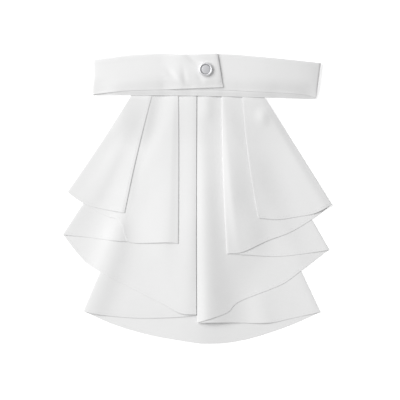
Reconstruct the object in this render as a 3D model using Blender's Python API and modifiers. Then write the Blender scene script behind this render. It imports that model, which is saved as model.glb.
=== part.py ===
# Jabot collar laid flat: a neckband folded into a flattened loop, a pleated
# cascade ruffle cut as one sheet, and the cap of a snap button.
# X runs to the right, Y towards the neckband and Z up from the surface.
import math

import bpy
import numpy as np

MM = 0.001

# Driving sizes, in millimetres
RUFFLE_WALL = 1.0
BAND_WALL = 1.2
SEAM_GAP = 0.3
LAYER_GAP = 0.5
LAYER_PITCH = RUFFLE_WALL + LAYER_GAP
BAND_LIFT = BAND_WALL + SEAM_GAP

# The ruffle's sewn top, hidden under the band's lower stretch, and that stretch's
# lower edge, along Y
RUFFLE_TOP_Y = 89.5
WAIST_Y = 84.0

# How far a layer takes to fall to the table beyond the edge of the one below
DROP_AT_WAIST = 9.0
DROP_AT_HEM = 24.0
DROP_LENGTH = 140.0
EDGE_MARGIN = 1.0

# How far the parting of two layers at their fold spreads, and how soon a ridge grows
ROLL_SPREAD_AT_WAIST = 5.0
ROLL_SPREAD_GROWTH = 6.0
WAVE_GROWTH = 1.8

# Grid of the ruffle
ROWS_HIDDEN = 2
ROWS_BELOW = 17
ROW_EASE = 1.12
HEM_EASE = 1.6
TURN_STEPS = 4
OUTLINE_STEPS = 24
LEVELS = 6

# Fold lines of the ruffle in the order of the sheet, from the free edge on the
# left to the free edge on the right: where each crosses the lower edge of the
# band, where it meets the hem, how far it bows to the right halfway down, and
# how much the two layers stand apart at it at the waist and at the hem.
FOLD_COLUMNS = ("name", "waist_x", "hem_x", "hem_y", "bow", "roll_waist", "roll_hem")
FOLD_ROWS = (
    ("free_left", -37.2, -59.6, -11.8, 1.0, 0.0, 0.0),
    ("first_left", -54.6, -107.0, 5.6, 0.8, 0.0, 0.8),
    ("second_left", -15.4, -15.4, -36.9, -0.6, 0.6, 2.2),
    ("third_left", -34.5, -110.8, -29.3, -0.5, 0.0, 0.6),
    ("fourth_left", -0.3, -0.7, -95.2, 0.3, 0.5, 1.8),
    ("fifth_left", -8.5, -94.0, -92.4, -3.8, 0.0, 0.4),
    ("fifth_right", 10.5, 101.2, -93.2, 2.6, 0.0, 0.4),
    ("fourth_right", 0.6, 2.3, -101.8, 0.2, 0.6, 2.4),
    ("third_right", 33.5, 108.5, -42.0, 0.9, 0.0, 0.6),
    ("second_right", 20.3, 23.1, -45.3, -1.6, 0.6, 2.6),
    ("first_right", 54.9, 110.8, -5.0, 0.2, 0.0, 0.8),
    ("free_right", 37.6, 49.4, -15.7, 1.0, 0.0, 0.0),
)

# Panels between neighbouring folds: the layers below it, how many columns it
# takes, and the points its hem passes between its two folds.
PANEL_COLUMNS = ("name", "side", "level", "columns", "hem_points")
PANEL_ROWS = (
    ("top_left", "left", 5, 7, ((-82.0, -7.6), (-94.2, -3.4), (-103.5, 2.8))),
    ("tier_one_left", "left", 4, 13, (
        (-94.2, -3.6), (-76.1, -13.8), (-66.0, -17.0), (-60.0, -22.6),
        (-60.8, -31.5), (-53.0, -36.3), (-24.0, -36.0))),
    ("under_one_left", "left", 3, 8, (
        (-24.0, -36.6), (-62.7, -35.0), (-89.4, -31.9))),
    ("tier_two_left", "left", 2, 14, (
        (-98.6, -45.0), (-86.0, -56.6), (-50.8, -75.3), (-28.9, -86.3), (-13.5, -94.2))),
    ("under_two_left", "left", 1, 6, ((-11.5, -97.1), (-46.2, -98.3), (-76.1, -96.0))),
    ("back", "both", 0, 14, (
        (-68.2, -103.7), (-38.9, -112.2), (-3.2, -118.3), (8.0, -119.1),
        (24.5, -118.4), (45.6, -114.4), (74.8, -104.8))),
    ("under_two_right", "right", 1, 6, ((76.6, -98.7), (58.0, -102.2), (24.0, -101.8))),
    ("tier_two_right", "right", 2, 14, (
        (24.0, -94.0), (34.0, -85.0), (60.9, -74.3), (72.7, -68.8), (86.4, -58.6))),
    ("under_one_right", "right", 3, 8, ((88.4, -45.3), (65.0, -47.6), (42.0, -46.3))),
    ("tier_one_right", "right", 4, 12, (
        (38.1, -43.6), (56.9, -35.0), (76.6, -27.6), (94.7, -16.8))),
    ("top_right", "right", 5, 7, ((97.0, -12.0), (82.1, -15.0), (66.0, -17.2))),
)

# Soft ridges of the cloth, each from a point near the band to one at the hem,
# with its half width and how high it stands at its lower end.
WAVE_COLUMNS = ("panel", "start_x", "start_y", "end_x", "end_y", "half_width", "height")
WAVE_ROWS = (
    ("tier_one_left", -22.5, 80.0, -23.5, -50.0, 8.0, 2.4),
    ("tier_two_left", -5.5, 80.0, -7.5, -100.0, 6.0, 1.6),
    ("under_two_left", -62.0, -30.0, -92.0, -92.0, 10.0, 2.2),
    ("tier_two_right", 7.5, 80.0, 9.0, -104.0, 6.5, 2.8),
    ("tier_one_right", 31.0, 70.0, 35.5, -52.0, 8.5, 3.2),
    ("top_right", 52.0, 68.0, 96.0, -12.0, 10.0, 2.0),
    ("top_left", -50.0, 60.0, -80.0, -10.0, 10.0, 1.2),
)

# Stations of the neckband along its length, from the lapping end at the front
# over the left fold, the back and the right fold to the end under the lap.
BAND_COLUMNS = ("part", "top_x", "top_y", "bottom_x", "bottom_y")
BAND_ROWS = (
    ("front_left", 16.6, 119.0, 21.4, 91.0),
    ("front_left", -10.1, 118.1, -8.6, 90.6),
    ("front_left", -32.0, 118.7, -31.0, 90.0),
    ("front_left", -55.3, 117.7, -54.8, 89.6),
    ("front_left", -70.0, 115.8, -69.3, 87.6),
    ("front_left", -86.6, 114.1, -85.6, 85.4),
    ("back", -86.6, 114.1, -85.6, 84.7),
    ("back", 0.0, 112.0, 0.0, 84.2),
    ("back", 101.2, 111.5, 97.2, 81.7),
    ("front_right", 101.2, 111.5, 97.8, 82.8),
    ("front_right", 68.0, 114.7, 67.0, 86.8),
    ("front_right", 21.2, 118.4, 22.6, 89.0),
    ("front_right", -10.9, 117.2, -10.4, 89.2),
)
BAND_HEIGHT_STEPS = 9
BAND_TURN_STEPS = 6
STATION_STEP = 6.0
LIFT_SAMPLES = 5

# The back of the band bows up from the table over the pleats sewn under its lower
# edge. The front rises from its end folds to clear that bow, and the lapping end
# rises once more over the end that lies under it.
BAND_LEFT_X = -85.0
BAND_RIGHT_X = 97.0
BAND_RAMP = 30.0
BAND_FOLD_HEIGHT = 3.2
LAP_START_X = -10.9
LAP_RISE = 16.0

# The snap's cap: a metal rim round a shallow well that holds a pearly face
BUTTON_X = 6.9
BUTTON_Y = 105.6
BUTTON_DIAMETER = 11.2
BUTTON_HEIGHT = 2.4
BUTTON_RIM_WIDTH = 1.7
BUTTON_WELL = 0.7
BUTTON_FOOT_ROUND = 0.5
FACE_THICKNESS = 0.7
FACE_DOME = 0.15
FACE_ROUND = 0.3
BUTTON_SIDES = 32


def table(columns, rows):
    return [dict(zip(columns, row)) for row in rows]


FOLDS = table(FOLD_COLUMNS, FOLD_ROWS)
PANELS = table(PANEL_COLUMNS, PANEL_ROWS)
BAND = table(BAND_COLUMNS, BAND_ROWS)
WAVES = table(WAVE_COLUMNS, WAVE_ROWS)


def smooth_step(value):
    value = np.clip(value, 0.0, 1.0)
    return value * value * (3.0 - 2.0 * value)


def along_curve(points, fractions):
    # A Catmull-Rom curve through the points, read at fractions of its length
    points = np.asarray(points, float)
    ends = np.vstack([2 * points[0] - points[1], points, 2 * points[-1] - points[-2]])
    local = np.linspace(0.0, 1.0, 9)[:-1][:, None]
    dense = []
    for i in range(len(points) - 1):
        p0, p1, p2, p3 = ends[i:i + 4]
        dense.append(0.5 * (2 * p1 + (p2 - p0) * local
                            + (2 * p0 - 5 * p1 + 4 * p2 - p3) * local ** 2
                            + (3 * p1 - p0 - 3 * p2 + p3) * local ** 3))
    dense = np.vstack(dense + [points[-1:]])
    lengths = np.linalg.norm(np.diff(dense, axis=0), axis=1)
    run = np.concatenate([[0.0], np.cumsum(lengths)]) / lengths.sum()
    return np.column_stack([np.interp(fractions, run, dense[:, i])
                            for i in range(dense.shape[1])])


def row_fractions():
    # The rows fall from the band's edge to the hem, a little closer at the top
    return np.linspace(0.0, 1.0, ROWS_BELOW) ** ROW_EASE


def fold_line(fold):
    # The line runs straight up behind the band and slants below its edge
    fall = row_fractions()
    x = fold["waist_x"] + (fold["hem_x"] - fold["waist_x"]) * fall
    x = x + fold["bow"] * np.sin(math.pi * fall)
    y = WAIST_Y + (fold["hem_y"] - WAIST_Y) * fall
    hidden_y = np.linspace(RUFFLE_TOP_Y, WAIST_Y, ROWS_HIDDEN, endpoint=False)
    hidden = np.column_stack([np.full(ROWS_HIDDEN, fold["waist_x"]), hidden_y])
    return np.vstack([hidden, np.column_stack([x, y])])


def panel_outline(index):
    first = fold_line(FOLDS[index])
    second = fold_line(FOLDS[index + 1])
    hem = along_curve([first[-1], *PANELS[index]["hem_points"], second[-1]],
                      np.linspace(0.0, 1.0, OUTLINE_STEPS))
    return np.vstack([first, hem[1:-1], second[::-1]])


def distance_outside(points, outline):
    # How far each point lies beyond the outline, and zero within it
    start = outline
    end = np.roll(outline, -1, axis=0)
    edge = end - start
    offset = points[:, None, :] - start[None]
    share = np.clip((offset * edge).sum(2) / np.maximum((edge ** 2).sum(1), 1e-12), 0.0, 1.0)
    nearest = np.linalg.norm(offset - share[..., None] * edge, axis=2).min(1)
    px, py = points[:, 0, None], points[:, 1, None]
    rises = (start[:, 1] > py) != (end[:, 1] > py)
    height = np.where(edge[:, 1] == 0, 1e-12, edge[:, 1])
    crossing = rises & (px < edge[:, 0] * (py - start[:, 1]) / height + start[:, 0])
    inside = crossing.sum(1) % 2 == 1
    return np.where(inside, 0.0, nearest)


def drop_length(points):
    share = np.clip((WAIST_Y - points[:, 1]) / DROP_LENGTH, 0.0, 1.0)
    return DROP_AT_WAIST + (DROP_AT_HEM - DROP_AT_WAIST) * share


def cover(points, outline, length, margin):
    # One over the outline and its margin, falling to nought within the length
    beyond = distance_outside(points, outline) - margin
    return smooth_step(1.0 - beyond / length)


def roll_lift(points, index):
    # Two layers stand apart by the fold that joins them, less and less away from it
    fold = FOLDS[index]
    line = fold_line(fold)
    share = np.clip((WAIST_Y - points[:, 1]) / (WAIST_Y - fold["hem_y"]), 0.0, 1.0)
    height = fold["roll_waist"] + (fold["roll_hem"] - fold["roll_waist"]) * smooth_step(share)
    sliver = np.vstack([line, line[::-1] + (0.01, 0.0)])
    spread = ROLL_SPREAD_AT_WAIST + ROLL_SPREAD_GROWTH * share
    return height * np.exp(-(distance_outside(points, sliver) / spread) ** 2)


def wave_lift(points, name):
    # Each ridge is a bell across its line and grows along it towards the hem
    height = np.zeros(len(points))
    for wave in WAVES:
        if wave["panel"] != name:
            continue
        start = np.array([wave["start_x"], wave["start_y"]])
        run = np.array([wave["end_x"], wave["end_y"]]) - start
        share = np.clip(((points - start) * run).sum(1) / (run ** 2).sum(), 0.0, 1.0)
        beyond = np.linalg.norm(points - start - share[:, None] * run, axis=1)
        bell = np.exp(-(beyond / wave["half_width"]) ** 2)
        height = height + wave["height"] * smooth_step(share * WAVE_GROWTH) * bell
    return height


def upper_folds(index):
    # The folds by which a panel joins those above it, and none for a top panel
    side = PANELS[index]["side"]
    folds = []
    if side != "right" and index > 0:
        folds.append(index)
    if side != "left" and index + 1 < len(PANELS):
        folds.append(index + 1)
    return folds


def stack_height(points, side, level):
    # The height of the underside of a panel that lies on all lower panels
    height = np.zeros(len(points))
    for index, panel in enumerate(PANELS):
        if side != "both" and panel["side"] not in (side, "both"):
            continue
        ridges = wave_lift(points, panel["name"])
        if panel["level"] == level:
            height = height + ridges
        elif panel["level"] < level:
            parting = sum(roll_lift(points, fold) for fold in upper_folds(index))
            over = cover(points, panel_outline(index), drop_length(points), EDGE_MARGIN)
            height = height + (LAYER_PITCH + ridges + parting) * over
    return height


def unit_rows(vectors):
    return vectors / np.linalg.norm(vectors, axis=1)[:, None]


def fold_side(index):
    # A direction in the plan, square to the fold line and away from its panels
    line = fold_line(FOLDS[index])
    along = unit_rows(np.gradient(line, axis=0))
    square = np.column_stack([along[:, 1], -along[:, 0]])
    inner = fold_line(FOLDS[index - 1])[-1] + fold_line(FOLDS[index + 1])[-1]
    outward = line[-1] - inner / 2.0
    if (square[-1] * outward).sum() < 0:
        square = -square
    return square


def turn_radius(index, line):
    # Half of the distance between the middles of the two layers at the fold
    heights = [stack_height(line, PANELS[number]["side"], PANELS[number]["level"])
               for number in (index - 1, index)]
    return np.abs(heights[1] - heights[0]) / 2.0


def panel_plan(index):
    # The panel's points in the plan, one row for each line across it
    panel = PANELS[index]
    edges = []
    for number in (index, index + 1):
        line = fold_line(FOLDS[number])
        if 0 < number < len(FOLDS) - 1:
            inset = turn_radius(number, line) + RUFFLE_WALL / 2.0
            line = line - fold_side(number) * inset[:, None]
        edges.append(line)
    first, second = edges
    across = np.linspace(0.0, 1.0, panel["columns"] + 1)
    hem = along_curve([first[-1], *panel["hem_points"], second[-1]], across)
    chord = first[-1] + (second[-1] - first[-1]) * across[:, None]
    fall = np.concatenate([np.zeros(ROWS_HIDDEN), row_fractions()]) ** HEM_EASE
    plain = first[:, None] + (second - first)[:, None] * across[None, :, None]
    return plain + fall[:, None, None] * (hem - chord)[None]


def panel_surface(index):
    plan = panel_plan(index)
    panel = PANELS[index]
    flat = plan.reshape(-1, 2)
    height = stack_height(flat, panel["side"], panel["level"]) + RUFFLE_WALL / 2.0
    return np.concatenate([plan, height.reshape(plan.shape[:2])[..., None]], axis=2)


def turn_surface(index, before, after):
    # The rounded turn from the edge of one panel to the edge of the next
    start = before[:, -1]
    end = after[:, 0]
    middle = (start + end) / 2.0
    half = (end - start) / 2.0
    outward = fold_side(index)
    radius = np.abs(half[:, 2])
    columns = []
    for step in range(1, TURN_STEPS):
        angle = math.pi * step / TURN_STEPS
        ring = middle - half * math.cos(angle)
        ring[:, :2] += outward * (radius * math.sin(angle))[:, None]
        columns.append(ring)
    return np.stack(columns, axis=1)


def ruffle_surface():
    panels = [panel_surface(index) for index in range(len(PANELS))]
    pieces = [panels[0]]
    for index in range(1, len(PANELS)):
        pieces.append(turn_surface(index, panels[index - 1], panels[index]))
        pieces.append(panels[index])
    return np.concatenate(pieces, axis=1)


def build_ruffle(finish, collection):
    mesh = sheet_mesh("jabot_ruffle", ruffle_surface())
    piece = add_piece("jabot_ruffle", mesh, finish, collection)
    add_wall(piece, RUFFLE_WALL)


def sheet_mesh(name, surface):
    rows, columns = surface.shape[:2]
    number = np.arange(rows * columns).reshape(rows, columns)
    faces = np.stack([number[:-1, :-1], number[1:, :-1], number[1:, 1:], number[:-1, 1:]],
                     axis=-1).reshape(-1, 4)
    mesh = bpy.data.meshes.new(name)
    mesh.from_pydata((surface.reshape(-1, 3) * MM).tolist(), [], faces.tolist())
    mesh.update()
    return mesh


def add_wall(piece, thickness):
    wall = piece.modifiers.new("Wall", "SOLIDIFY")
    wall.thickness = thickness * MM
    wall.offset = 0.0
    wall.use_even_offset = True
    wall.use_quality_normals = True
    return wall


def material(name, colour, roughness, metallic=0.0):
    made = bpy.data.materials.new(name)
    made.use_nodes = True
    shader = made.node_tree.nodes["Principled BSDF"]
    shader.inputs["Base Color"].default_value = (*colour, 1.0)
    shader.inputs["Roughness"].default_value = roughness
    shader.inputs["Metallic"].default_value = metallic
    return made


def add_piece(name, mesh, finish, collection):
    piece = bpy.data.objects.new(name, mesh)
    mesh.materials.append(finish)
    mesh.shade_smooth()
    collection.objects.link(piece)
    return piece


def band_stretch(part):
    # Top and bottom edge of one stretch of the band, at even steps along it
    rows = [row for row in BAND if row["part"] == part]
    points = [(row["top_x"], row["top_y"], row["bottom_x"], row["bottom_y"]) for row in rows]
    length = sum(math.dist(a[:2], b[:2]) for a, b in zip(points, points[1:]))
    steps = max(2, round(length / STATION_STEP))
    return along_curve(points, np.linspace(0.0, 1.0, steps + 1))


def over_pleats(points):
    # How far the pleats within a station of each point lift the band's back above the table
    shifts = np.linspace(-STATION_STEP, STATION_STEP, LIFT_SAMPLES)
    lifts = [stack_height(points + (shift, 0.0), side, LEVELS)
             for shift in shifts for side in ("left", "right")]
    return np.maximum(np.max(lifts, axis=0) - LAYER_GAP + SEAM_GAP, 0.0)


def front_height(x, plateau):
    low = BAND_WALL / 2.0 + BAND_FOLD_HEIGHT
    left = smooth_step((x - BAND_LEFT_X) / BAND_RAMP)
    right = smooth_step((BAND_RIGHT_X - x) / BAND_RAMP)
    return low + (plateau - low) * np.minimum(left, right)


def stretch_surface(part, plateau=None):
    # A ruled strip: the back lies on the table and the pleats, the front at its own height
    ruled = band_stretch(part)
    share = np.linspace(0.0, 1.0, BAND_HEIGHT_STEPS + 1)
    top = ruled[:, None, :2]
    bottom = ruled[:, None, 2:]
    plan = top + (bottom - top) * share[None, :, None]
    if part == "back":
        lift = over_pleats(plan.reshape(-1, 2)).reshape(plan.shape[:2])
        height = lift + BAND_WALL / 2.0
    else:
        height = front_height(plan[..., 0], plateau)
    if part == "front_left":
        lap = smooth_step((plan[..., 0] - LAP_START_X + LAP_RISE) / LAP_RISE)
        height = height + BAND_LIFT * lap
    return np.concatenate([plan, height[..., None]], axis=2)


def band_turn(before, after, outward):
    # The rounded end of the loop, from the end of one stretch to the next
    half = (after - before) / 2.0
    middle = (after + before) / 2.0
    radius = np.abs(half[:, 2])
    rings = []
    for step in range(1, BAND_TURN_STEPS):
        angle = math.pi * step / BAND_TURN_STEPS
        ring = middle - half * math.cos(angle)
        ring[:, 0] += outward * radius * math.sin(angle)
        rings.append(ring)
    return np.stack(rings)


def build_neckband(finish, collection):
    back = stretch_surface("back")
    plateau = back[..., 2].max() + BAND_LIFT
    front_left = stretch_surface("front_left", plateau)
    front_right = stretch_surface("front_right", plateau)
    inset = (BAND_FOLD_HEIGHT + BAND_WALL) / 2.0
    front_left[-1, :, 0] += inset
    back[0, :, 0] += inset
    back[-1, :, 0] -= inset
    front_right[0, :, 0] -= inset
    left = band_turn(front_left[-1], back[0], -1.0)
    right = band_turn(back[-1], front_right[0], 1.0)
    surface = np.concatenate([front_left, left, back, right, front_right])
    piece = add_piece("neckband", sheet_mesh("neckband", surface), finish, collection)
    add_wall(piece, BAND_WALL)
    lap_top = front_left[0, :, 2].max() + BAND_WALL / 2.0
    return lap_top


def turned_piece(name, profile, centre, finish, collection):
    # A profile of radius and height is turned about the upright axis
    mesh = bpy.data.meshes.new(name)
    points = [(radius * MM, 0.0, height * MM) for radius, height in profile]
    edges = [(i, i + 1) for i in range(len(points) - 1)]
    mesh.from_pydata(points, edges, [])
    piece = add_piece(name, mesh, finish, collection)
    piece.location = [value * MM for value in centre]
    screw = piece.modifiers.new("Turn", "SCREW")
    screw.axis = "Z"
    screw.steps = BUTTON_SIDES
    screw.render_steps = BUTTON_SIDES
    screw.use_merge_vertices = True
    screw.merge_threshold = 0.01 * MM
    screw.use_smooth_shade = True
    return piece


def round_edge(centre_radius, centre_height, radius, start, end, steps):
    # Points on a quarter of a round edge of the profile
    angles = np.radians(np.linspace(start, end, steps))
    return [(centre_radius + radius * math.cos(a), centre_height + radius * math.sin(a))
            for a in angles]


def build_button(seat_height, rim_finish, face_finish, collection):
    centre = (BUTTON_X, BUTTON_Y, seat_height)
    outer = BUTTON_DIAMETER / 2.0
    inner = outer - BUTTON_RIM_WIDTH
    crown = BUTTON_RIM_WIDTH / 2.0
    crown_height = BUTTON_HEIGHT - crown
    rim = [(0.0, BUTTON_WELL), (inner, BUTTON_WELL)]
    rim += round_edge(outer - crown, crown_height, crown, 180.0, 0.0, 7)
    foot = BUTTON_FOOT_ROUND
    rim += round_edge(outer - foot, foot, foot, 0.0, -90.0, 4)
    rim += [(0.0, 0.0)]
    turned_piece("button_rim", rim, centre, rim_finish, collection)
    face_radius = inner - SEAM_GAP
    face_base = BUTTON_WELL + SEAM_GAP
    face_top = face_base + FACE_THICKNESS
    shoulder = face_radius - FACE_ROUND
    face = [(shoulder * share, face_top + FACE_DOME * (1.0 - share ** 2)) for share in (0.0, 0.35, 0.7)]
    face += round_edge(shoulder, face_top - FACE_ROUND, FACE_ROUND, 90.0, 0.0, 3)
    face += [(face_radius, face_base), (0.0, face_base)]
    turned_piece("button_face", face, centre, face_finish, collection)


def main():
    for item in list(bpy.data.objects):
        bpy.data.objects.remove(item, do_unlink=True)
    collection = bpy.data.collections.new("jabot_collar")
    bpy.context.scene.collection.children.link(collection)
    cloth = material("white_cloth", (0.86, 0.86, 0.86), 0.85)
    band_cloth = material("white_band_cloth", (0.84, 0.84, 0.84), 0.8)
    rim_metal = material("silver_rim_metal", (0.62, 0.62, 0.64), 0.3, 1.0)
    pearl = material("pearl_face", (0.68, 0.68, 0.69), 0.35)
    build_ruffle(cloth, collection)
    lap_top = build_neckband(band_cloth, collection)
    build_button(lap_top + SEAM_GAP, rim_metal, pearl, collection)


main()
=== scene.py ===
import math

import bpy
import numpy as np
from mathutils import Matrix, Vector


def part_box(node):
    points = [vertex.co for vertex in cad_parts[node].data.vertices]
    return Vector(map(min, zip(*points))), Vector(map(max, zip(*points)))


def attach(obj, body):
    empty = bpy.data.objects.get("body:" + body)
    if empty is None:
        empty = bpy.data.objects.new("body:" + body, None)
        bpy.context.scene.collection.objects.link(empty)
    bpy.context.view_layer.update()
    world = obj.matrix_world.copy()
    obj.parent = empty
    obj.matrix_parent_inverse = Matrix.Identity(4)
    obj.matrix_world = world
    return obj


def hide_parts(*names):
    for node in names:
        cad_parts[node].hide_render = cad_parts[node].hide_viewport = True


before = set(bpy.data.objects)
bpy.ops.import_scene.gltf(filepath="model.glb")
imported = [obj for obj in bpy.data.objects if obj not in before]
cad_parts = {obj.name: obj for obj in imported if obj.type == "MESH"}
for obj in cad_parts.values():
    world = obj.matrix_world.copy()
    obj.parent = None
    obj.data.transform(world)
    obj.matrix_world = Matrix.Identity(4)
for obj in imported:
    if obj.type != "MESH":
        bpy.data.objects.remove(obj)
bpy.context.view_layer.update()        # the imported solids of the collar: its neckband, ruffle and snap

mm = 0.001
print("frame loaded:", ", ".join(sorted(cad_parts)))


def table(columns, rows):
    # Each row becomes a dictionary under the names of the columns
    return [dict(zip(columns.split(), row)) for row in rows]


# The ruffle: one sheet folded to and fro. What a user would change is here.
ruffle = {
    "wall": 0.15,               # the cloth
    "hemExtra": 0.05,           # how much thicker the turned hem is
    "hemWidth": 3.1,            # how wide it is
    "hemStep": 0.5,             # and how soon it is fully thick
    "edgeRound": 0.5,           # the very edge is rounded off within this
    "edgeLeast": 0.3,           # to this share of the wall
    "stitchLine": 2.1,          # the hem's stitching, from its edge
    "grooveDepth": 0.1,         # the stitching pulls a groove this deep
    "grooveHalfWidth": 0.35,
    "hemRows": (3.9, 3.1, 2.8, 2.1, 1.2, 0.5, 0.15, 0.0),   # grid lines across the hem
    "stitchRow": -5,            # the one of them that the stitching follows
    "pitchAtWaist": 0.23,       # what each layer adds to the stack, where the pleats are sewn
    "pitchBelow": 0.25,         # and where they lie on the table
    "pitchEase": 45.0,          # it eases from one to the other within this
    "waistBulk": 2.8,           # the gathers stand off the table by this at the band
    "bulkFall": 42.0,           # which dies away within this, down the cloth
    "bulkEdge": 95.0,           # and this far to either side
    "bulkEase": 35.0,           # over this
    "sewnTopY": 90.5,           # the sewn edge, hidden under the band's lower stretch
    "waistY": 84.0,             # the pleats come out from under it here
    "tuck": 0.05,               # sewn under the band, they are pressed down by this share
    "tuckLength": 2.2,          # within this
    "tuckFrom": 0.9,            # of which this share lies below the waist
    "dropAtWaist": 26.0,        # a layer falls to the table within this, past the one below
    "dropAtHem": 24.0,          # and within this towards the hem
    "dropLength": 140.0,        # it eases from one to the other down this length
    "edgeMargin": 1.0,          # a layer is level this far past the one below
    "rollSpreadAtWaist": 5.0,   # how far the parting of two layers reaches from their fold
    "rollSpreadGrowth": 6.0,    # and how much farther at the hem
    "hiddenRows": 5,            # grid rows behind the band
    "rowsBelow": 58,            # and down the cloth
    "rowEase": 1.12,            # they are closer near the waist by this power
    "hemEase": 1.6,             # the hem's curve fades up the panel by this power
    "columnsEach": 4,           # grid columns for each one in the table of panels
    "turnSteps": 8,             # and round each fold
}

# Folds in the sheet's order, as the solid has them
folds = table("name waistX hemX hemY bow rollWaist rollHem", [
    ("free_left", -37.2, -59.6, -11.8, -1.0, 0.0, 0.0),
    ("first_left", -54.6, -107.0, 5.6, 0.8, 0.0, 0.8),
    ("second_left", -15.5, -15.6, -36.9, 0.3, 0.0, 0.0),
    ("third_left", -34.5, -110.8, -29.3, -0.5, 0.0, 0.6),
    ("fourth_left", -0.35, -0.35, -95.2, -0.2, 0.0, 0.1),
    ("fifth_left", -8.5, -94.0, -92.4, -3.8, 0.0, 0.4),
    ("fifth_right", 10.5, 101.2, -93.2, 2.6, 0.0, 0.4),
    ("fourth_right", 0.1, -0.1, -101.8, -0.2, 0.1, 0.1),
    ("third_right", 33.5, 108.5, -42.0, 0.9, 0.0, 0.6),
    ("second_right", 20.1, 24.4, -45.3, -0.9, 0.0, 0.15),
    ("first_right", 54.9, 110.8, -5.0, 0.2, 0.0, 0.8),
    ("free_right", 36.9, 49.9, -15.7, -1.6, 0.0, 0.0),
])

# Panels between neighbouring folds, the layers below each, and its hem
panels = table("name side level columns hem", [
    ("top_left", "left", 5, 9, ((-82.0, -7.6), (-94.2, -3.4), (-103.5, 2.8))),
    ("tier_one_left", "left", 4, 16, (
        (-94.2, -3.6), (-76.1, -13.8), (-66.0, -17.0), (-61.2, -22.9),
        (-59.4, -30.8), (-53.0, -36.3), (-24.0, -36.0))),
    ("under_one_left", "left", 3, 12, ((-24.0, -36.6), (-62.7, -35.0), (-89.4, -31.9))),
    ("tier_two_left", "left", 2, 14, (
        (-98.6, -45.0), (-86.0, -56.6), (-50.8, -75.3), (-28.9, -86.3), (-13.5, -94.2))),
    ("under_two_left", "left", 1, 6, ((-11.5, -97.1), (-46.2, -98.3), (-76.1, -96.0))),
    ("back", "both", 0, 14, (
        (-68.2, -103.7), (-38.9, -112.2), (-3.2, -118.3), (8.0, -119.1),
        (24.5, -118.4), (45.6, -114.4), (74.8, -104.8))),
    ("under_two_right", "right", 1, 6, ((76.6, -98.7), (58.0, -102.2), (24.0, -101.8))),
    ("tier_two_right", "right", 2, 14, (
        (24.0, -94.0), (34.0, -85.0), (60.9, -74.3), (72.7, -68.8), (86.4, -58.6))),
    ("under_one_right", "right", 3, 8, ((88.4, -45.3), (65.0, -47.6), (42.0, -46.3))),
    ("tier_one_right", "right", 4, 12, (
        (38.1, -43.6), (56.9, -35.0), (76.6, -27.6), (94.7, -16.8))),
    ("top_right", "right", 5, 9, ((97.0, -12.0), (82.1, -15.0), (66.0, -17.2))),
])

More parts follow.
